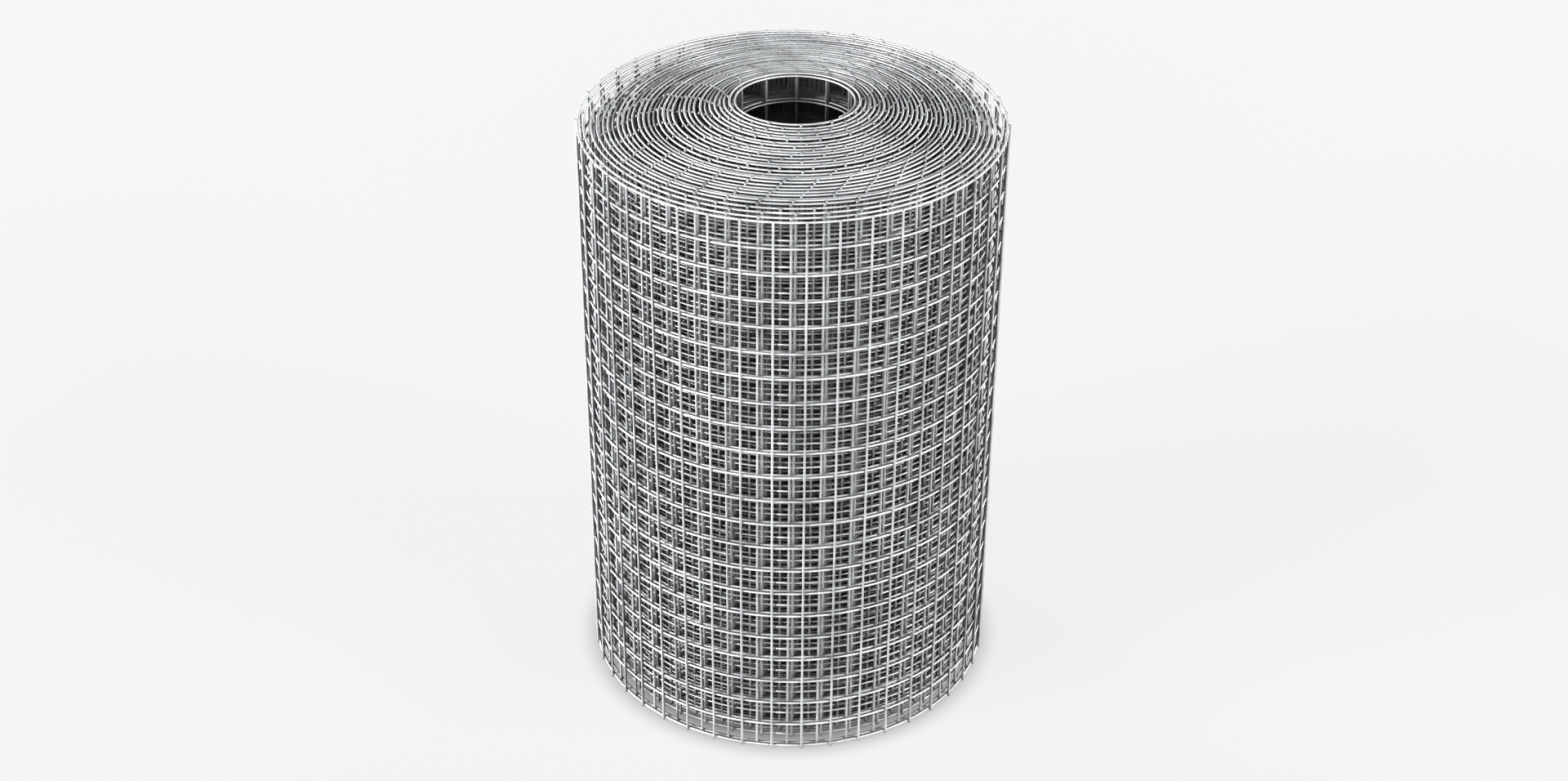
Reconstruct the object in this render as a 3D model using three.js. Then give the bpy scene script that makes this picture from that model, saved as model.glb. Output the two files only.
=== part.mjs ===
// A roll of welded wire mesh standing on its end, modelled as one turned solid
// with its bore. Millimetres, +Z up. The origin is on the roll's axis, on the floor.
import * as THREE from "three";

// Driving dimensions of the mesh
const CELL_HEIGHT = 25.4;
const CELL_COUNT = 22; // cells from end to end
const WIRE_END = 2; // how far each upright wire runs past the middle of an end wire

// Driving dimensions of the roll
const BORE_RADIUS = 50;
const OUTER_RADIUS = 194;
const TURNS = 31;
const LEVEL_TURNS = 6; // outer turns that stand level on the floor
const CORE_RISE = 18; // how far the innermost turn has slipped up past the level ones
const GROOVE_DEPTH = 5; // the gap between two turns, as it shows on the ends
const REST_WIDTH = 3.5; // flat edge of the outermost turn, which carries the roll
const FACETS = 36; // flat faces around the roll

const SHEET_WIDTH = CELL_COUNT * CELL_HEIGHT + 2 * WIRE_END;
const TURN_PITCH = (OUTER_RADIUS - BORE_RADIUS) / TURNS;

// How far a turn has slipped up along the axis. Turn 0 is the outermost one.
function turnRise(turn) {
  const slipped = Math.max(0, turn - LEVEL_TURNS) / (TURNS - 1 - LEVEL_TURNS);
  return CORE_RISE * slipped;
}

// One end of the roll, as section points from the outside in to the bore. Its level
// edge is at edgeHeight, and outwards is +1 on the top end and -1 on the bottom end.
function endProfile(edgeHeight, outwards) {
  const points = [
    new THREE.Vector2(OUTER_RADIUS, edgeHeight),
    new THREE.Vector2(OUTER_RADIUS - REST_WIDTH, edgeHeight),
  ];
  for (let turn = 1; turn < TURNS; turn += 1) {
    const outside = OUTER_RADIUS - turn * TURN_PITCH;
    const grooveRise = (turnRise(turn - 1) + turnRise(turn)) / 2;
    points.push(new THREE.Vector2(outside, edgeHeight + grooveRise - outwards * GROOVE_DEPTH));
    points.push(new THREE.Vector2(outside - TURN_PITCH / 2, edgeHeight + turnRise(turn)));
  }
  const boreEdge = edgeHeight + CORE_RISE - outwards * GROOVE_DEPTH;
  points.push(new THREE.Vector2(BORE_RADIUS, boreEdge));
  return points;
}

// The whole section goes around once: out along the bottom end, in along the top end,
// and back down the bore to where it began.
function rollGeometry() {
  const bottom = endProfile(0, -1).reverse();
  const top = endProfile(SHEET_WIDTH, 1);
  const section = [...bottom, ...top, bottom[0].clone()];
  const geometry = new THREE.LatheGeometry(section, FACETS);
  geometry.rotateX(Math.PI / 2); // the lathe turns about Y, and the roll stands along Z
  return geometry;
}

const galvanisedWire = new THREE.MeshStandardMaterial({
  color: 0xc4c6c7,
  roughness: 0.42,
  metalness: 0.85,
});

const meshRoll = new THREE.Mesh(rollGeometry(), galvanisedWire);
meshRoll.name = "mesh_roll";

const roll = new THREE.Group();
roll.add(meshRoll);

export default roll;
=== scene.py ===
# The looks of a roll of welded wire mesh: every wire of the wound sheet, its galvanised
# finish, a pale studio floor, soft light, and a camera at the photograph's viewing angle.
import math

import bpy
import numpy as np
from mathutils import Matrix, Vector


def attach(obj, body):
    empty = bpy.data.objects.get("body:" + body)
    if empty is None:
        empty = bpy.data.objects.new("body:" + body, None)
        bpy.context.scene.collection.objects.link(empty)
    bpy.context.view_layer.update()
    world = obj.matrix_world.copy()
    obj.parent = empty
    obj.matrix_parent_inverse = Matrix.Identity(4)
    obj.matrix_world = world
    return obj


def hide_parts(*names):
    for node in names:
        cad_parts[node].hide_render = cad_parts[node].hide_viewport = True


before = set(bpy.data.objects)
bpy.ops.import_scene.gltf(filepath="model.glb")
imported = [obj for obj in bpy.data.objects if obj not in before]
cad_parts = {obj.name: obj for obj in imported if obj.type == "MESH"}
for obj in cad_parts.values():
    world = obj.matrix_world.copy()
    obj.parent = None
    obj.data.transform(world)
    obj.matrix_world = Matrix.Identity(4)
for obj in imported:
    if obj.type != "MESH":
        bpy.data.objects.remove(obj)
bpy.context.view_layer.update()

# All lengths are in metres, and all azimuths and spreads in degrees. "Long wires" run along
# the sheet and around the roll, and "uprights" stand along the roll's axis.

# Sizes of the mesh
CELL_HEIGHT = 0.0254
CELLS_HIGH = 22
CELL_WIDTH = 0.0278
WIRE = 0.0024  # wire diameter with its zinc
WIRE_END = 0.002  # the most that an upright runs past the middle of the last long wire
SINK = 0.25  # share of a wire that a weld sinks into the other one

# Sizes of the roll, the same as the turned solid's
BORE_RADIUS = 0.050
OUTER_RADIUS = 0.194
CORE_RISE = 0.018
LEVEL_TURNS = 6

# How the sheet is wound. A place along it is a number of turns counted inwards from the
# sheet's outer end, so 2.25 is a quarter turn past the start of the third turn.
GAPS = 30  # gaps between turns, along every direction from the axis
SHEET_TURNS = 31.305
END_AZIMUTH = 50.0  # where the sheet's outer end lies, at the back right
FRONT_AZIMUTH = -90.0
FRONT_UPRIGHT = 0.43  # cells from the front to the first upright on its right
BORE_SHIFT = (0.0030, 0.0050)  # the bore's middle lies to the right of the axis and behind it
BORE_OVAL = 0.0024  # the bore's radius is this much more to the sides, and less to the front
UNEVEN_ROOM = 0.0008  # kept free inside the solid's outline, for uneven wires
DIP = 0.28  # share of the outermost turn that bends inwards to pass under the sheet's end
SAMPLES = 240  # steps of the winding table in each turn
PATH_TURNS = 32  # turns in the winding table
SHARING_ROUNDS = 4  # rounds of sharing out the slack, for the first gap to settle

# The slack between turns is uneven, in long and short waves. Wave widths are in turns.
SLACK_WAVE = 0.26
SHORT_SLACK_WAVE = 0.05
SHORT_SLACK_SHARE = 0.35
LEAST_SLACK = 0.06

# Gaps between turns that stand open: gap number from outside, azimuth, spread, and how much
# wider than a touching gap it is
OPEN_GAPS = [
    (1, -90, 38, 0.0084),
    (2, -90, 42, 0.0036),
    (3, -90, 45, 0.0040),
    (0, 135, 30, 0.0020),
    (1, 135, 30, 0.0026),
    (2, 135, 30, 0.0026),
    (3, 135, 30, 0.0020),
    (1, 12, 16, 0.0042),
]
OPENING = 0.06  # turns from the sheet's outer end over which an open gap opens
# The outermost gap is pressed shut around the front, where the outermost turn stands a
# little higher
PRESSED_AZIMUTH = -82
PRESSED_SPREAD = 72
PRESSED_SHARE = 0.96  # share of the slack that is pressed out of it
OUTER_RISE = 0.0004
OUTER_RISE_SPREAD = 80
# The turns inside the outermost one stand unevenly high
RISE_NOISE = 0.0006
RISE_WAVE = 0.25  # turns
# The second turn leans inwards at the front, in its top rows counted from the top
LEAN = 0.0046
LEAN_SPREAD = 40
LEAN_ROWS = [1.0, 0.9, 0.4, 0.1]

# Uprights keep this far from the sheet's ends, and long wires end this far past the uprights
END_MARGIN = 0.004
OVERHANG = 0.006

# How far crossings are shifted from an even sheet's: the size of the shift that neighbours
# share and of the one that each has by itself, and how many cells the shared one spreads
# along and up the sheet
RADIAL_NOISE = (0.00024, 0.00006, 2, 4)
HEIGHT_NOISE = (0.00024, 0.00007, 4, 3)
ALONG_NOISE = (0.00045, 0.00007, 1, 8)
RADIAL_LIMITS = (-0.0010, 0.0007)
HEIGHT_LIMITS = (-0.0005, 0.0007)
EDGE_SHARE = 0.3  # share of their shifts that the lowest and the highest long wire keep

# How far uprights run past the middle of the lowest and of the highest long wire
BOTTOM_ENDS = (0.0014, WIRE_END)
TOP_ENDS = (0.0006, 0.0012)

# Tones of the wires, from dull to bright: the zinc's own, and painted light on the outer
# turns. Each wire's own tone lies between -1 and 1.
OUTER_PAINTED_LIGHT = 1.8  # painted light, added on the long wires of the outer turns so that they look lighter than those of the inner turns, which lie in shade
CUT_TONE = -1.5  # at an upright's cut ends
WELD_TONE_SHARE = 0.5  # share of its upright's tone that a weld has

# Welds, in wire diameters: how far the middle of one lies outwards from the middle of the
# long wire, and its radii outwards, sideways and upwards
WELD_OUT = 0.45
WELD_RADII = (0.74, 0.60, 0.60)
WELD_LEVELS = [-45, 0, 45]  # degrees of latitude of its rings of points
WELD_SIDES = 6

# How finely wires are built: sides of their section, and steps of the long ones, which on
# the inner turns are coarser, but less so in the rows near both ends of the roll
FINE_SIDES = 8
FINE_STEPS = 130  # steps in each turn
EDGE_SIDES = 6
EDGE_STEP = 0.012
EDGE_FEWEST_STEPS = 64
EDGE_ROWS = 2  # rows at each end
COARSE_SIDES = 4
COARSE_STEP = 0.018
COARSE_FEWEST_STEPS = 48
COARSE_UPRIGHT_SIDES = 5

# The pieces of the sheet: name, first and last turn, and whether it is built finely
STRETCHES = [
    ("mesh_turns_outermost", 0.0, 1.1, True),
    ("mesh_turns_outer", 1.1, 2.4, True),
    ("mesh_turns_middle_1", 2.4, 8.5, False),
    ("mesh_turns_middle_2", 8.5, 15.5, False),
    ("mesh_turns_inner_1", 15.5, 23.5, False),
    ("mesh_turns_inner_2", 23.5, SHEET_TURNS, False),
]

# The stage. The floor's glow grows from a painted shadow under the roll to its full strength
# between two distances from the axis.
FLOOR_RADIUS = 9.0
PAINTED_SHADOW_FROM = 0.135
PAINTED_SHADOW_TO = 0.215
PAINTED_SHADOW_GLOW = 0.06
FLOOR_GLOW = 0.887
WORLD_STRENGTH = 0.22
VIEW_GAMMA = 0.53  # below 1, for the photograph's hard contrast
# Lights: name, azimuth, elevation, spread and strength
LIGHTS = [
    ("front_light", -97, 14, 40, 1.7),
    ("left_light", -155, 19, 40, 9.4),
    ("right_light", -25, 19, 40, 7.0),
    ("back_left_light", 138, 12, 30, 3.2),
    ("back_right_light", 42, 12, 30, 2.6),
]

# The camera, fitted to the outline and the rows of long wires in the photograph
CAMERA_DISTANCE = 1.9891
CAMERA_HEIGHT = 1.5455
CAMERA_ASIDE = -0.0062
CAMERA_DOWN = 32.53  # degrees below level
CAMERA_ROLL = 0.0066  # radians
FOCAL_PIXELS = 3051.4
IMAGE_WIDTH = 1920
SENSOR_WIDTH = 36.0

rng = np.random.default_rng(22)


def periodic_noise(count, width):
    """Smooth random values around a closed loop, with mean 0 and spread 1."""
    spectrum = np.fft.rfft(rng.standard_normal(count))
    turns = np.arange(len(spectrum)) / count
    spectrum *= np.exp(-0.5 * (2 * math.pi * turns * width) ** 2)
    values = np.fft.irfft(spectrum, count)
    return (values - values.mean()) / values.std()


def turn_share(azimuth):
    """How much of a turn lies between the sheet's outer end and an azimuth, going inwards."""
    return ((END_AZIMUTH - azimuth) / 360) % 1.0


def hump(turns, middle, spread):
    """1 at the middle, in turns, and falling off smoothly to both sides over a spread."""
    return np.exp(-0.5 * ((turns - middle) / (spread / 360)) ** 2)


# The winding


def gap_slack(turns):
    """How the slack is spread over the gaps between turns. Only its proportions matter."""
    waves = periodic_noise(len(turns), SLACK_WAVE * SAMPLES)
    waves += SHORT_SLACK_SHARE * periodic_noise(len(turns), SHORT_SLACK_WAVE * SAMPLES)
    slack = np.clip(waves, LEAST_SLACK, None) ** 2
    pressed = hump(turns, turn_share(PRESSED_AZIMUTH), PRESSED_SPREAD)
    return slack * (1 - PRESSED_SHARE * pressed)


def gap_opening(turns):
    """How much wider the open gaps are than touching ones."""
    opened = np.zeros(len(turns))
    for number, azimuth, spread, extra in OPEN_GAPS:
        opened += extra * hump(turns, number + turn_share(azimuth), spread)
    return opened * np.clip(turns / OPENING, 0, 1)


def wind_sheet():
    """The winding table: turn, azimuth, radius, rise and arc length along the sheet."""
    whole = GAPS * SAMPLES
    steps = np.arange(PATH_TURNS * SAMPLES + 1)
    turns = steps / SAMPLES
    azimuth = np.radians(END_AZIMUTH) - 2 * math.pi * turns
    touching = WIRE * (2 - SINK)
    slack = gap_slack(turns[:whole])
    opened = gap_opening(turns[:whole])

    # The outermost turn is round but dips under the sheet's outer end, and the innermost
    # one follows the bore, and lies on it at its middle. The room between them is shared
    # out as slack.
    outermost = OUTER_RADIUS - touching + WIRE / 2 - UNEVEN_ROOM
    bore = (BORE_RADIUS + WIRE / 2 + BORE_OVAL * np.cos(2 * azimuth)
            + BORE_SHIFT[0] * np.cos(azimuth) + BORE_SHIFT[1] * np.sin(azimuth))
    dip = np.clip((np.arange(SAMPLES) / SAMPLES - (1 - DIP)) / DIP, 0, 1) ** 2
    innermost_middle = SHEET_TURNS - 0.5
    gap = np.zeros(whole)
    first_gap = touching
    for _ in range(SHARING_ROUNDS):
        outer_turn = outermost - first_gap * dip
        inner_turns = bore + (innermost_middle - turns) * first_gap
        for k in range(SAMPLES):
            layer = slice(k, whole, SAMPLES)
            room = outer_turn[k] - inner_turns[whole + k]
            spare = room - GAPS * touching - opened[layer].sum()
            gap[layer] = touching + opened[layer] + slack[layer] * spare / slack[layer].sum()
        first_gap = gap[0]

    radius = inner_turns
    radius[:SAMPLES] = outer_turn
    for k in range(SAMPLES, whole):
        radius[k] = radius[k - SAMPLES] - gap[k - SAMPLES]

    slipped = np.clip((turns - LEVEL_TURNS) / (GAPS - LEVEL_TURNS), 0, 1)
    rise = (CORE_RISE - UNEVEN_ROOM) * slipped
    waves = periodic_noise(whole, RISE_WAVE * SAMPLES)[steps % whole]
    rise += RISE_NOISE * waves * np.clip(turns - 1, 0, 1)
    rise += OUTER_RISE * hump(turns, turn_share(PRESSED_AZIMUTH), OUTER_RISE_SPREAD)
    rise = np.clip(rise, 0, CORE_RISE)

    along = np.hypot(np.diff(radius), radius[:-1] * np.diff(azimuth))
    arc = np.concatenate([[0], np.cumsum(along)])
    return turns, azimuth, radius, rise, arc


TURNS_AT, AZIMUTH_AT, RADIUS_AT, RISE_AT, ARC_AT = wind_sheet()


def path(turns):
    """Azimuth, radius and rise of the long wires at places along the sheet."""
    return (np.interp(turns, TURNS_AT, AZIMUTH_AT), np.interp(turns, TURNS_AT, RADIUS_AT),
            np.interp(turns, TURNS_AT, RISE_AT))


# The uprights stand a cell apart along the sheet, from one end to the other

ROWS = CELLS_HIGH + 1
row_heights = WIRE_END + CELL_HEIGHT * np.arange(ROWS)
front_arc = np.interp(turn_share(FRONT_AZIMUTH), TURNS_AT, ARC_AT)
sheet_arc = np.interp(SHEET_TURNS, TURNS_AT, ARC_AT)
first_upright = (front_arc - FRONT_UPRIGHT * CELL_WIDTH) % CELL_WIDTH
if first_upright <= END_MARGIN:
    first_upright += CELL_WIDTH
upright_arcs = np.arange(first_upright, sheet_arc - END_MARGIN, CELL_WIDTH)
upright_turns = np.interp(upright_arcs, ARC_AT, TURNS_AT)
uprights = len(upright_arcs)


def crossing_noise(size, own, along, up):
    """How far each crossing lies from its place in a perfect sheet, in one direction."""
    reach = 3  # spreads out to which neighbours are smoothed together
    field = rng.standard_normal((uprights, ROWS + 2 * reach * up))
    for axis, width in ((0, along), (1, up)):
        taps = np.exp(-0.5 * (np.arange(-reach * width, reach * width + 1) / width) ** 2)
        field = np.apply_along_axis(np.convolve, axis, field, taps, "same")
    field = field[:, reach * up:][:, :ROWS]
    field = field / field.std() * size
    return field + own * rng.standard_normal((uprights, ROWS))


radial_shift = np.clip(crossing_noise(*RADIAL_NOISE), *RADIAL_LIMITS)
radial_shift[:, [0, -1]] *= EDGE_SHARE
leaning = hump(upright_turns, 1 + turn_share(FRONT_AZIMUTH), LEAN_SPREAD)
for row_from_top, share in enumerate(LEAN_ROWS):
    radial_shift[:, ROWS - 1 - row_from_top] -= LEAN * share * leaning
height_shift = np.clip(crossing_noise(*HEIGHT_NOISE), *HEIGHT_LIMITS)
height_shift[:, [0, -1]] *= EDGE_SHARE
along_shift = crossing_noise(*ALONG_NOISE)

row_tones = rng.uniform(-1, 1, ROWS)
upright_tones = rng.uniform(-1, 1, uprights)
bottom_ends = rng.uniform(*BOTTOM_ENDS, uprights)
top_ends = rng.uniform(*TOP_ENDS, uprights)


def at_crossings(field, turns, row):
    """A crossing value for each place along one long wire, blended between uprights."""
    cells = (np.interp(turns, TURNS_AT, ARC_AT) - upright_arcs[0]) / CELL_WIDTH
    cells = np.clip(cells, 0, uprights - 1.001)  # so that an upright lies on both sides
    left = cells.astype(int)
    blend = cells - left
    return field[left, row] * (1 - blend) + field[left + 1, row] * blend


# Mesh building: tubes along rows of points, and small weld beads, gathered into one mesh


class Wires:
    """Vertices and faces of one piece, with a tone for each vertex that varies by wire, and
    holds painted light on the outer turns' long wires.
    """

    def __init__(self):
        self.points = []
        self.tones = []
        self.faces = []
        self.end_faces = []  # flat shaded
        self.count = 0

    def add(self, points, tone):
        start = self.count
        self.points.append(points.reshape(-1, 3))
        self.tones.append(np.broadcast_to(tone, points.shape[:-1]).reshape(-1))
        self.count += points.size // 3
        return start

    def add_bands(self, rings):
        """Faces between neighbouring rings of points. Axis 1 goes from ring to ring."""
        here = rings[:, :-1]
        onward = rings[:, 1:]
        faces = np.stack([here, np.roll(here, -1, 2), np.roll(onward, -1, 2), onward], -1)
        self.faces.append(faces.reshape(-1, 4))

    def tube(self, centres, across, beside, sides, tone):
        """A closed wire along each row of centres. Across and beside span its section."""
        angle = np.arange(sides) * 2 * math.pi / sides
        ring = (np.cos(angle)[:, None] * across[..., None, :]
                + np.sin(angle)[:, None] * beside[..., None, :]) * (WIRE / 2)
        points = centres[:, :, None, :] + ring
        start = self.add(points, tone[:, :, None])
        number = start + np.arange(points.size // 3).reshape(points.shape[:3])
        self.add_bands(number)
        self.end_faces.append(number[:, 0, ::-1])
        self.end_faces.append(number[:, -1])

    def bead(self, centres, across, beside, upward, radii, tone):
        """A small ellipsoid at each centre: rings of points, and a point at each pole."""
        count = len(centres)
        latitude = np.radians(WELD_LEVELS)[:, None, None]
        angle = np.arange(WELD_SIDES) * 2 * math.pi / WELD_SIDES
        flat = (np.cos(angle)[:, None] * across[:, None, None, :] * radii[0]
                + np.sin(angle)[:, None] * beside[:, None, None, :] * radii[1])
        rings = (centres[:, None, None, :] + np.cos(latitude) * flat
                 + np.sin(latitude) * upward[:, None, None, :] * radii[2])
        poles = np.stack([centres - upward * radii[2], centres + upward * radii[2]], 1)
        points = np.concatenate([rings.reshape(count, -1, 3), poles], 1)
        start = self.add(points, tone[:, None])

        number = start + np.arange(points.size // 3).reshape(points.shape[:2])
        ring = number[:, :-2].reshape(count, len(WELD_LEVELS), WELD_SIDES)
        self.add_bands(ring)
        lowest, highest = ring[:, 0], ring[:, -1]
        bottom = np.broadcast_to(number[:, -2:-1], lowest.shape)
        top = np.broadcast_to(number[:, -1:], highest.shape)
        for corners in ([bottom, np.roll(lowest, -1, 1), lowest],
                        [top, highest, np.roll(highest, -1, 1)]):
            self.faces.append(np.stack(corners, -1).reshape(-1, 3))

    def build(self, name):
        mesh = bpy.data.meshes.new(name)
        points = np.concatenate(self.points).astype(np.float32)
        groups = self.faces + self.end_faces
        sizes = np.concatenate([np.full(len(group), group.shape[1]) for group in groups])
        corners = np.concatenate([group.reshape(-1) for group in groups])
        smooth = np.concatenate([np.full(len(group), order < len(self.faces))
                                 for order, group in enumerate(groups)])
        mesh.vertices.add(len(points))
        mesh.vertices.foreach_set("co", points.reshape(-1))
        mesh.loops.add(len(corners))
        mesh.loops.foreach_set("vertex_index", corners.astype(np.int32))
        mesh.polygons.add(len(sizes))
        starts = np.concatenate([[0], np.cumsum(sizes)[:-1]])
        mesh.polygons.foreach_set("loop_start", starts.astype(np.int32))
        mesh.polygons.foreach_set("use_smooth", smooth)
        tone = mesh.attributes.new("wire_tone_and_painted_light", "FLOAT", "POINT")
        tone.data.foreach_set("value", np.concatenate(self.tones).astype(np.float32))
        mesh.update(calc_edges=True)
        mesh.validate()
        piece = bpy.data.objects.new(name, mesh)
        bpy.context.scene.collection.objects.link(piece)
        return piece


UP = np.array([0.0, 0.0, 1.0])


def outward(azimuth):
    return np.stack([np.cos(azimuth), np.sin(azimuth), np.zeros_like(azimuth)], -1)


def sideways(azimuth):
    return np.stack([-np.sin(azimuth), np.cos(azimuth), np.zeros_like(azimuth)], -1)


def long_wires(wires, turns, rows, sides, painted_light=0.0):
    """The wires that run along the sheet, over one stretch of it, in some of the rows."""
    azimuth, radius, rise = path(turns)
    centres = []
    for row in rows:
        bent = radius + at_crossings(radial_shift, turns, row)
        height = row_heights[row] + rise + at_crossings(height_shift, turns, row)
        centres.append(outward(azimuth) * bent[:, None] + UP * height[:, None])
    across = np.broadcast_to(outward(azimuth), (len(rows), len(turns), 3))
    beside = np.broadcast_to(UP, across.shape)
    # Painted light: the long wires of the outer turns are made lighter in colour than the
    # inner turns'
    tone = np.broadcast_to(row_tones[rows][:, None] + painted_light, across.shape[:2])
    wires.tube(np.stack(centres), across, beside, sides, tone)


def upright_wires(wires, chosen, sides):
    """Uprights, welded on the outer side of the long wires."""
    azimuth, radius, rise = path(upright_turns[chosen])
    heights = np.concatenate([
        (WIRE_END - bottom_ends[chosen])[:, None],
        np.broadcast_to(row_heights, (len(chosen), ROWS)),
        (row_heights[-1] + top_ends[chosen])[:, None],
    ], 1) + rise[:, None]
    rows = np.concatenate([[0], np.arange(ROWS), [ROWS - 1]])
    out = radius[:, None] + WIRE * (1 - SINK) + radial_shift[chosen][:, rows]
    along = along_shift[chosen][:, rows]
    centres = (outward(azimuth)[:, None, :] * out[..., None]
               + sideways(azimuth)[:, None, :] * along[..., None] + UP * heights[..., None])
    across = np.broadcast_to(outward(azimuth)[:, None, :], centres.shape)
    beside = np.broadcast_to(sideways(azimuth)[:, None, :], centres.shape)
    tone = np.repeat(upright_tones[chosen][:, None], centres.shape[1], 1)
    tone[:, [0, -1]] = CUT_TONE
    wires.tube(centres, across, beside, sides, tone)


def weld_beads(wires, chosen):
    """The squeezed metal and zinc where an upright meets each long wire."""
    azimuth, radius, rise = path(upright_turns[chosen])
    radii = [WIRE * share for share in WELD_RADII]
    tone = WELD_TONE_SHARE * upright_tones[chosen]
    for row in range(ROWS):
        out = radius + WIRE * WELD_OUT + radial_shift[chosen, row]
        along = along_shift[chosen, row]
        height = row_heights[row] + rise + height_shift[chosen, row]
        centres = (outward(azimuth) * out[:, None] + sideways(azimuth) * along[:, None]
                   + UP * height[:, None])
        upward = np.broadcast_to(UP, centres.shape)
        wires.bead(centres, outward(azimuth), sideways(azimuth), upward, radii, tone)


def wound_turns(name, first, last, fine):
    """The part of the sheet between two places along it, as one mesh."""
    wires = Wires()
    first_arc, last_arc = np.interp([first, last], TURNS_AT, ARC_AT)
    first_arc = max(first_arc, upright_arcs[0] - OVERHANG)
    last_arc = min(last_arc, upright_arcs[-1] + OVERHANG)
    first, last = np.interp([first_arc, last_arc], ARC_AT, TURNS_AT)
    chosen = np.flatnonzero((upright_arcs >= first_arc) & (upright_arcs < last_arc))

    def places(steps_per_turn):
        return np.linspace(first, last, int((last - first) * steps_per_turn) + 1)

    if fine:
        # The outer turns' long wires get painted light in their colour
        long_wires(wires, places(FINE_STEPS), list(range(ROWS)), FINE_SIDES, OUTER_PAINTED_LIGHT)
        upright_wires(wires, chosen, FINE_SIDES)
        weld_beads(wires, chosen)
    else:
        coarse_rows = list(range(EDGE_ROWS, ROWS - EDGE_ROWS))
        edge_rows = [row for row in range(ROWS) if row not in coarse_rows]
        middle_turn = 2 * math.pi * path((first + last) / 2)[1]  # its length
        steps = max(EDGE_FEWEST_STEPS, int(middle_turn / EDGE_STEP))
        long_wires(wires, places(steps), edge_rows, EDGE_SIDES)
        steps = max(COARSE_FEWEST_STEPS, int(middle_turn / COARSE_STEP))
        long_wires(wires, places(steps), coarse_rows, COARSE_SIDES)
        upright_wires(wires, chosen, COARSE_UPRIGHT_SIDES)
    return wires.build(name)


# Materials


def set_sockets(node, values):
    for socket, value in values.items():
        node.inputs[socket].default_value = value


def new_material(name, shader_values):
    """A material, its node tree and its Principled shader."""
    material = bpy.data.materials.new(name)
    material.use_nodes = True
    tree = material.node_tree
    shader = tree.nodes["Principled BSDF"]
    set_sockets(shader, shader_values)
    return material, tree, shader


def new_node(tree, kind, values, links=(), **settings):
    """A node with values on some sockets, and links to others as (output, socket) pairs."""
    node = tree.nodes.new("ShaderNode" + kind)
    for setting, value in settings.items():
        setattr(node, setting, value)
    set_sockets(node, values)
    for output, socket in links:
        tree.links.new(output, node.inputs[socket])
    return node


def galvanised_wire():
    material, tree, shader = new_material("galvanised_wire", {"Metallic": 0.45})
    place = new_node(tree, "TexCoord", {}).outputs["Object"]
    wire_tone_and_painted_light = new_node(tree, "Attribute", {}, attribute_name="wire_tone_and_painted_light")
    cloud = new_node(tree, "TexNoise", {"Scale": 30.0, "Detail": 3.0}, [(place, "Vector")])
    spangle = new_node(tree, "TexVoronoi", {"Scale": 420.0}, [(place, "Vector")])

    # Zinc from dull to bright: clouds a few centimetres wide, crystals of a few millimetres,
    # and a tone for each wire, which on the outer turns' long wires also holds painted light
    crystals = new_node(tree, "Math", {1: 0.14},
                        [(spangle.outputs["Color"], 0), (cloud.outputs["Fac"], 2)],
                        operation="MULTIPLY_ADD")
    toned = new_node(tree, "Math", {1: 0.10},
                     [(wire_tone_and_painted_light.outputs["Fac"], 0), (crystals.outputs[0], 2)],
                     operation="MULTIPLY_ADD")
    colour = new_node(tree, "ValToRGB", {}, [(toned.outputs[0], "Fac")])
    darkest, brightest = colour.color_ramp.elements
    darkest.position = 0.10
    darkest.color = (0.05, 0.05, 0.05, 1)
    brightest.position = 0.95
    brightest.color = (0.44, 0.445, 0.45, 1)
    dull = colour.color_ramp.elements.new(0.38)
    dull.color = (0.28, 0.283, 0.287, 1)
    tree.links.new(colour.outputs["Color"], shader.inputs["Base Color"])

    gloss = new_node(tree, "MapRange",
                     {"From Min": 0.3, "From Max": 1.0, "To Min": 0.62, "To Max": 0.46},
                     [(toned.outputs[0], "Value")])
    tree.links.new(gloss.outputs["Result"], shader.inputs["Roughness"])

    grain = new_node(tree, "TexNoise", {"Scale": 900.0, "Detail": 2.0}, [(place, "Vector")])
    bump = new_node(tree, "Bump", {"Strength": 0.25, "Distance": 0.0002},
                    [(grain.outputs["Fac"], "Height")])
    tree.links.new(bump.outputs["Normal"], shader.inputs["Normal"])
    return material


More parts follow.
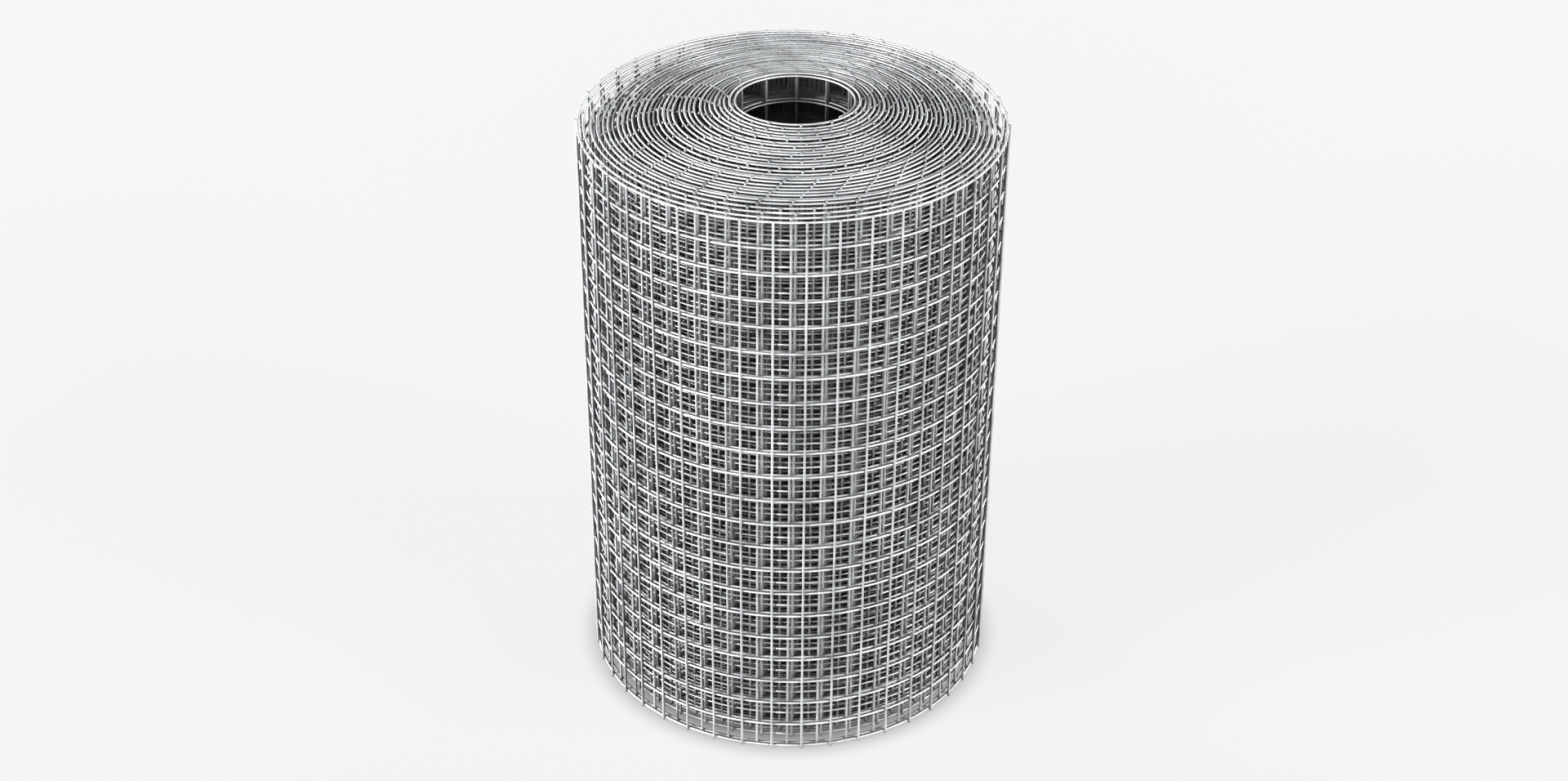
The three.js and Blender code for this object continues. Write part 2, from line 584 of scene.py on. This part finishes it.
def pale_floor():
    """A floor that glows a little, as a lit studio sweep does, but less near the axis: a
    painted shadow under the roll.
    """
    material, tree, shader = new_material("pale_floor", {
        "Base Color": (0.02, 0.02, 0.02, 1),
        "Roughness": 0.9,
        "Specular IOR Level": 0.1,
        "Emission Color": (1.0, 1.0, 1.0, 1),
    })
    place = new_node(tree, "TexCoord", {}).outputs["Object"]
    distance = new_node(tree, "VectorMath", {}, [(place, 0)], operation="LENGTH")
    # Painted shadow: the glow is turned down in a disc under the roll
    glow = new_node(tree, "MapRange",
                    {"From Min": PAINTED_SHADOW_FROM, "From Max": PAINTED_SHADOW_TO,
                     "To Min": PAINTED_SHADOW_GLOW, "To Max": FLOOR_GLOW},
                    [(distance.outputs["Value"], "Value")],
                    interpolation_type="SMOOTHSTEP")
    tree.links.new(glow.outputs["Result"], shader.inputs["Emission Strength"])
    return material


# The sheet

wire_finish = galvanised_wire()
for name, first, last, fine in STRETCHES:
    piece = wound_turns(name, first, last, fine)
    piece.data.materials.append(wire_finish)
    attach(piece, "root")
    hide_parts("mesh_roll")

# Floor, light and camera

bpy.ops.mesh.primitive_circle_add(vertices=96, radius=FLOOR_RADIUS, fill_type="NGON")
floor = bpy.context.object
floor.name = "studio_floor"
floor.data.materials.append(pale_floor())

world = bpy.data.worlds.new("studio")
world.use_nodes = True
set_sockets(world.node_tree.nodes["Background"],
            {"Color": (1.0, 1.0, 1.0, 1), "Strength": WORLD_STRENGTH})
bpy.context.scene.world = world


def distant_softbox(name, azimuth, elevation, spread, strength):
    """A wide, far studio light. Its rays come from one direction, softened by its spread."""
    light = bpy.data.lights.new(name, "SUN")
    light.angle = math.radians(spread)
    light.energy = strength
    lamp = bpy.data.objects.new(name, light)
    level = math.radians(elevation)
    angle = math.radians(azimuth)
    towards = Vector((math.cos(level) * math.cos(angle), math.cos(level) * math.sin(angle),
                      math.sin(level)))
    lamp.rotation_euler = towards.to_track_quat("Z", "Y").to_euler()
    bpy.context.scene.collection.objects.link(lamp)


for light_values in LIGHTS:
    distant_softbox(*light_values)

camera_data = bpy.data.cameras.new("camera")
camera_data.sensor_width = SENSOR_WIDTH
camera_data.lens = FOCAL_PIXELS / IMAGE_WIDTH * SENSOR_WIDTH
camera = bpy.data.objects.new("camera", camera_data)
camera.matrix_world = (Matrix.Translation((CAMERA_ASIDE, -CAMERA_DISTANCE, CAMERA_HEIGHT))
                       @ Matrix.Rotation(math.radians(90 - CAMERA_DOWN), 4, "X")
                       @ Matrix.Rotation(CAMERA_ROLL, 4, "Z"))
bpy.context.scene.collection.objects.link(camera)
bpy.context.scene.camera = camera
bpy.context.scene.view_settings.view_transform = "Standard"
bpy.context.scene.view_settings.gamma = VIEW_GAMMA
